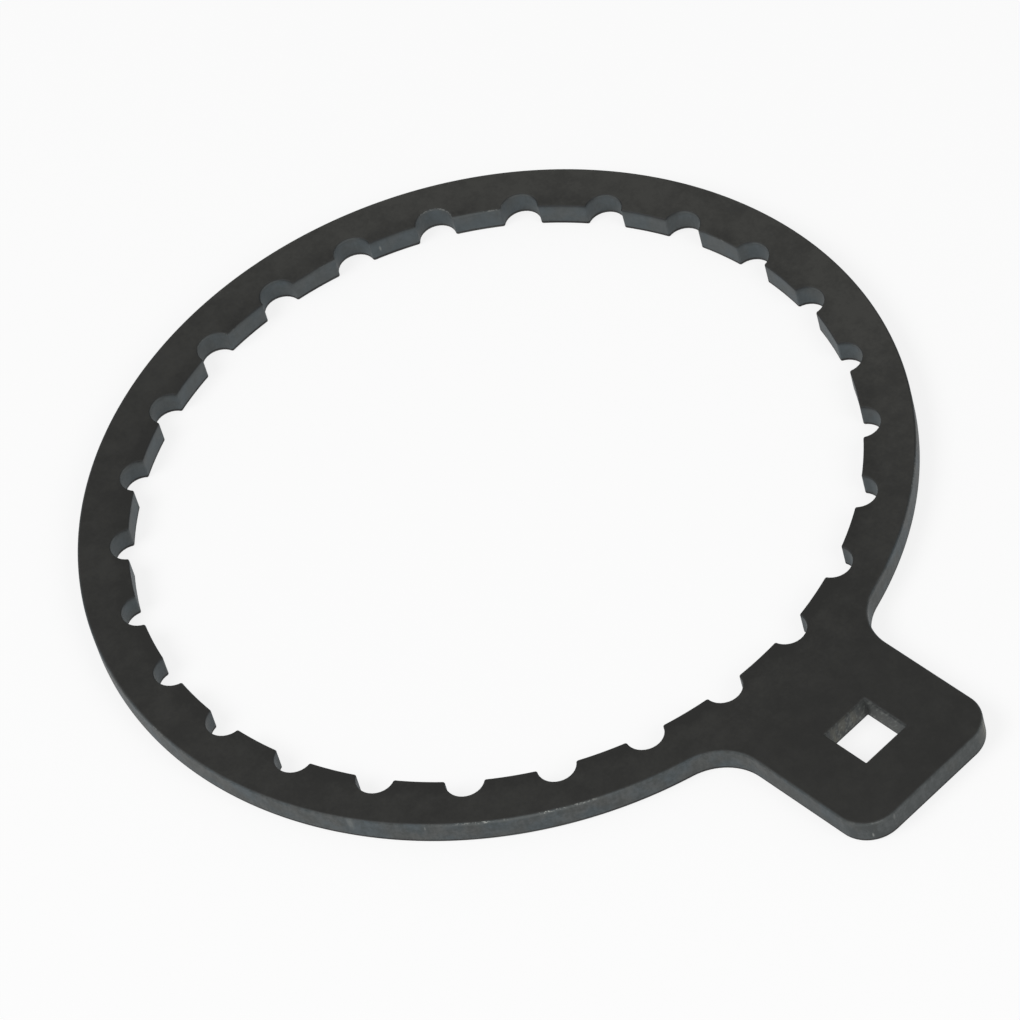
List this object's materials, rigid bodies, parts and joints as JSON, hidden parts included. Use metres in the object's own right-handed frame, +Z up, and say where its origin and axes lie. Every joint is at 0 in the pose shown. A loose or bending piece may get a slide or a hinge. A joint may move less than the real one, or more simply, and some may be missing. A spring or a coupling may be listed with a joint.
{
  "type": "filter housing wrench",
  "caption": "Flat steel ring wrench with round notches along its inner edge and a short tab with a square hole for a ratchet drive.",
  "frame": {"origin": "centre of the ring, on the plate's underside", "axes": "+Z up through the plate, +X from the ring's centre along the tab to the square hole"},
  "size_m": [0.2426, 0.2, 0.0063],
  "materials": {
    "blackened_steel": "black oxide finish on flat steel plate, satin, with bluish grey cut edges"
  },
  "bodies": {
    "root": {"wrench_plate": "blackened_steel"}
  },
  "joints": []
}
